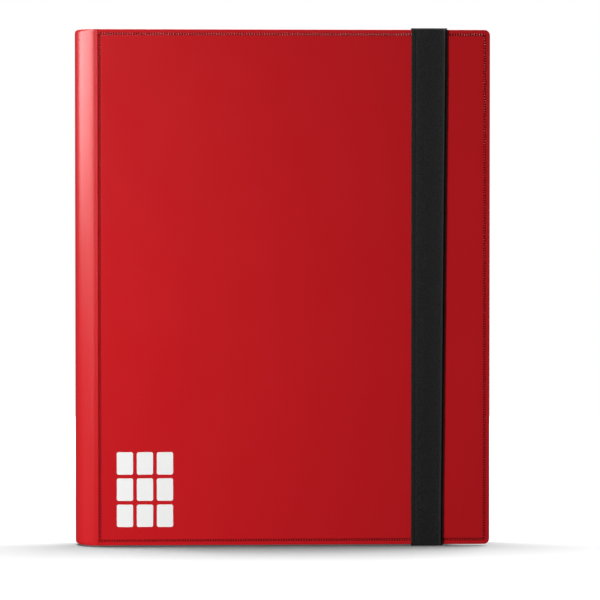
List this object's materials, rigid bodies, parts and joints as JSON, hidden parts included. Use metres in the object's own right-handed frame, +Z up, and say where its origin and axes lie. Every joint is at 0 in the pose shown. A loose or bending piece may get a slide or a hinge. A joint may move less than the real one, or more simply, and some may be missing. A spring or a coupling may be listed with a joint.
{
  "type": "trading card binder",
  "caption": "Upright nine-pocket card binder with red vinyl covers, a round spine, black pocket pages and an elastic closing strap",
  "frame": {"origin": "centre of the base, on the surface that the closed binder stands on", "axes": "+X from the spine to the fore-edge, +Y from the front cover to the back cover, +Z up along the spine"},
  "size_m": [0.2666, 0.0326, 0.3322],
  "materials": {
    "cover_vinyl": "smooth semi-gloss red vinyl with a fine leather emboss and a ribbed weld seam",
    "cover_board": "dense grey board",
    "cover_lining": "matt black film with a fine emboss",
    "spine_stiffener": "black polypropylene sheet",
    "binding_plastic": "satin black moulded plastic",
    "elastic_webbing": "matt black woven elastic",
    "anchor_plastic": "black plastic plate",
    "page_backing": "matt black polypropylene film",
    "pocket_film": "clear soft polypropylene film",
    "mark_print": "white screen print"
  },
  "bodies": {
    "back_cover": {"back_cover_skin": "cover_vinyl", "back_cover_board": "cover_board", "back_cover_liner": "cover_lining", "strap_anchor_upper": "anchor_plastic", "strap_anchor_lower": "anchor_plastic"},
    "spine": {"spine_skin": "cover_vinyl", "spine_liner": "spine_stiffener", "binding_channel": "binding_plastic"},
    "front_cover": {"front_cover_skin": "cover_vinyl", "front_cover_board": "cover_board", "front_cover_liner": "cover_lining", "cover_mark": "mark_print"},
    "strap": {"elastic_strap": "elastic_webbing"},
    "sheet_01": {"sheet_01_backing": "page_backing", "sheet_01_pockets": "pocket_film"},
    "sheet_02": {"sheet_02_backing": "page_backing", "sheet_02_pockets": "pocket_film"},
    "sheet_03": {"sheet_03_backing": "page_backing", "sheet_03_pockets": "pocket_film"},
    "sheet_04": {"sheet_04_backing": "page_backing", "sheet_04_pockets": "pocket_film"},
    "sheet_05": {"sheet_05_backing": "page_backing", "sheet_05_pockets": "pocket_film"},
    "sheet_06": {"sheet_06_backing": "page_backing", "sheet_06_pockets": "pocket_film"},
    "sheet_07": {"sheet_07_backing": "page_backing", "sheet_07_pockets": "pocket_film"},
    "sheet_08": {"sheet_08_backing": "page_backing", "sheet_08_pockets": "pocket_film"},
    "sheet_09": {"sheet_09_backing": "page_backing", "sheet_09_pockets": "pocket_film"},
    "sheet_10": {"sheet_10_backing": "page_backing", "sheet_10_pockets": "pocket_film"},
    "sheet_11": {"sheet_11_backing": "page_backing", "sheet_11_pockets": "pocket_film"},
    "sheet_12": {"sheet_12_backing": "page_backing", "sheet_12_pockets": "pocket_film"},
    "sheet_13": {"sheet_13_backing": "page_backing", "sheet_13_pockets": "pocket_film"},
    "sheet_14": {"sheet_14_backing": "page_backing", "sheet_14_pockets": "pocket_film"},
    "sheet_15": {"sheet_15_backing": "page_backing", "sheet_15_pockets": "pocket_film"},
    "sheet_16": {"sheet_16_backing": "page_backing", "sheet_16_pockets": "pocket_film"},
    "sheet_17": {"sheet_17_backing": "page_backing", "sheet_17_pockets": "pocket_film"},
    "sheet_18": {"sheet_18_backing": "page_backing", "sheet_18_pockets": "pocket_film"},
    "sheet_19": {"sheet_19_backing": "page_backing", "sheet_19_pockets": "pocket_film"},
    "sheet_20": {"sheet_20_backing": "page_backing", "sheet_20_pockets": "pocket_film"}
  },
  "joints": [
    {"name": "spine_fold", "type": "hinge", "parent": "back_cover", "child": "spine", "pos_m": [-0.1176, 0.0149, 0.1661], "axis": [0, 0, -1], "range_deg": [0, 90]},
    {"name": "front_cover_open", "type": "hinge", "parent": "spine", "child": "front_cover", "pos_m": [-0.1176, -0.0161, 0.1661], "axis": [0, 0, -1], "range_deg": [0, 92.2]},
    {"name": "strap_release", "type": "hinge", "parent": "back_cover", "child": "strap", "pos_m": [0.09475, 0.01545, 0.1661], "axis": [0, 0, 1], "range_deg": [0, 180], "deforming": ["elastic_strap"]},
    {"name": "sheet_01_turn", "type": "hinge", "parent": "spine", "child": "sheet_01", "pos_m": [-0.1144, -0.01247, 0.1661], "axis": [0, 0, 1], "range_deg": [0, 3.75]},
    {"name": "sheet_02_turn", "type": "hinge", "parent": "spine", "child": "sheet_02", "pos_m": [-0.1144, -0.01123, 0.1661], "axis": [0, 0, 1], "range_deg": [0, 7.5]},
    {"name": "sheet_03_turn", "type": "hinge", "parent": "spine", "child": "sheet_03", "pos_m": [-0.1144, -0.00997, 0.1661], "axis": [0, 0, 1], "range_deg": [0, 11.25]},
    {"name": "sheet_04_turn", "type": "hinge", "parent": "spine", "child": "sheet_04", "pos_m": [-0.1144, -0.00873, 0.1661], "axis": [0, 0, 1], "range_deg": [0, 15]},
    {"name": "sheet_05_turn", "type": "hinge", "parent": "spine", "child": "sheet_05", "pos_m": [-0.1144, -0.00747, 0.1661], "axis": [0, 0, 1], "range_deg": [0, 18.75]},
    {"name": "sheet_06_turn", "type": "hinge", "parent": "spine", "child": "sheet_06", "pos_m": [-0.1144, -0.00622, 0.1661], "axis": [0, 0, 1], "range_deg": [0, 22.5]},
    {"name": "sheet_07_turn", "type": "hinge", "parent": "spine", "child": "sheet_07", "pos_m": [-0.1144, -0.00498, 0.1661], "axis": [0, 0, 1], "range_deg": [0, 26.25]},
    {"name": "sheet_08_turn", "type": "hinge", "parent": "spine", "child": "sheet_08", "pos_m": [-0.1144, -0.00373, 0.1661], "axis": [0, 0, 1], "range_deg": [0, 30]},
    {"name": "sheet_09_turn", "type": "hinge", "parent": "spine", "child": "sheet_09", "pos_m": [-0.1144, -0.00248, 0.1661], "axis": [0, 0, 1], "range_deg": [0, 33.75]},
    {"name": "sheet_10_turn", "type": "hinge", "parent": "spine", "child": "sheet_10", "pos_m": [-0.1144, -0.00122, 0.1661], "axis": [0, 0, 1], "range_deg": [0, 37.5]},
    {"name": "sheet_11_turn", "type": "hinge", "parent": "spine", "child": "sheet_11", "pos_m": [-0.1144, 0.00003, 0.1661], "axis": [0, 0, 1], "range_deg": [0, 41.25]},
    {"name": "sheet_12_turn", "type": "hinge", "parent": "spine", "child": "sheet_12", "pos_m": [-0.1144, 0.00128, 0.1661], "axis": [0, 0, 1], "range_deg": [0, 45]},
    {"name": "sheet_13_turn", "type": "hinge", "parent": "spine", "child": "sheet_13", "pos_m": [-0.1144, 0.00252, 0.1661], "axis": [0, 0, 1], "range_deg": [0, 48.75]},
    {"name": "sheet_14_turn", "type": "hinge", "parent": "spine", "child": "sheet_14", "pos_m": [-0.1144, 0.00378, 0.1661], "axis": [0, 0, 1], "range_deg": [0, 52.5]},
    {"name": "sheet_15_turn", "type": "hinge", "parent": "spine", "child": "sheet_15", "pos_m": [-0.1144, 0.00502, 0.1661], "axis": [0, 0, 1], "range_deg": [0, 56.25]},
    {"name": "sheet_16_turn", "type": "hinge", "parent": "spine", "child": "sheet_16", "pos_m": [-0.1144, 0.00628, 0.1661], "axis": [0, 0, 1], "range_deg": [0, 60]},
    {"name": "sheet_17_turn", "type": "hinge", "parent": "spine", "child": "sheet_17", "pos_m": [-0.1144, 0.00752, 0.1661], "axis": [0, 0, 1], "range_deg": [0, 63.75]},
    {"name": "sheet_18_turn", "type": "hinge", "parent": "spine", "child": "sheet_18", "pos_m": [-0.1144, 0.00877, 0.1661], "axis": [0, 0, 1], "range_deg": [0, 67.5]},
    {"name": "sheet_19_turn", "type": "hinge", "parent": "spine", "child": "sheet_19", "pos_m": [-0.1144, 0.01002, 0.1661], "axis": [0, 0, 1], "range_deg": [0, 71.25]},
    {"name": "sheet_20_turn", "type": "hinge", "parent": "spine", "child": "sheet_20", "pos_m": [-0.1144, 0.01128, 0.1661], "axis": [0, 0, 1], "range_deg": [0, 75]}
  ],
  "couplings": [
    {"joint": "strap_release", "follows": "spine_fold", "ratio": 2},
    {"joint": "sheet_01_turn", "follows": "spine_fold", "ratio": 0.041667},
    {"joint": "sheet_02_turn", "follows": "spine_fold", "ratio": 0.083333},
    {"joint": "sheet_03_turn", "follows": "spine_fold", "ratio": 0.125},
    {"joint": "sheet_04_turn", "follows": "spine_fold", "ratio": 0.16667},
    {"joint": "sheet_05_turn", "follows": "spine_fold", "ratio": 0.20833},
    {"joint": "sheet_06_turn", "follows": "spine_fold", "ratio": 0.25},
    {"joint": "sheet_07_turn", "follows": "spine_fold", "ratio": 0.29167},
    {"joint": "sheet_08_turn", "follows": "spine_fold", "ratio": 0.33333},
    {"joint": "sheet_09_turn", "follows": "spine_fold", "ratio": 0.375},
    {"joint": "sheet_10_turn", "follows": "spine_fold", "ratio": 0.41667},
    {"joint": "sheet_11_turn", "follows": "spine_fold", "ratio": 0.45833},
    {"joint": "sheet_12_turn", "follows": "spine_fold", "ratio": 0.5},
    {"joint": "sheet_13_turn", "follows": "spine_fold", "ratio": 0.54167},
    {"joint": "sheet_14_turn", "follows": "spine_fold", "ratio": 0.58333},
    {"joint": "sheet_15_turn", "follows": "spine_fold", "ratio": 0.625},
    {"joint": "sheet_16_turn", "follows": "spine_fold", "ratio": 0.66667},
    {"joint": "sheet_17_turn", "follows": "spine_fold", "ratio": 0.70833},
    {"joint": "sheet_18_turn", "follows": "spine_fold", "ratio": 0.75},
    {"joint": "sheet_19_turn", "follows": "spine_fold", "ratio": 0.79167},
    {"joint": "sheet_20_turn", "follows": "spine_fold", "ratio": 0.83333}
  ]
}
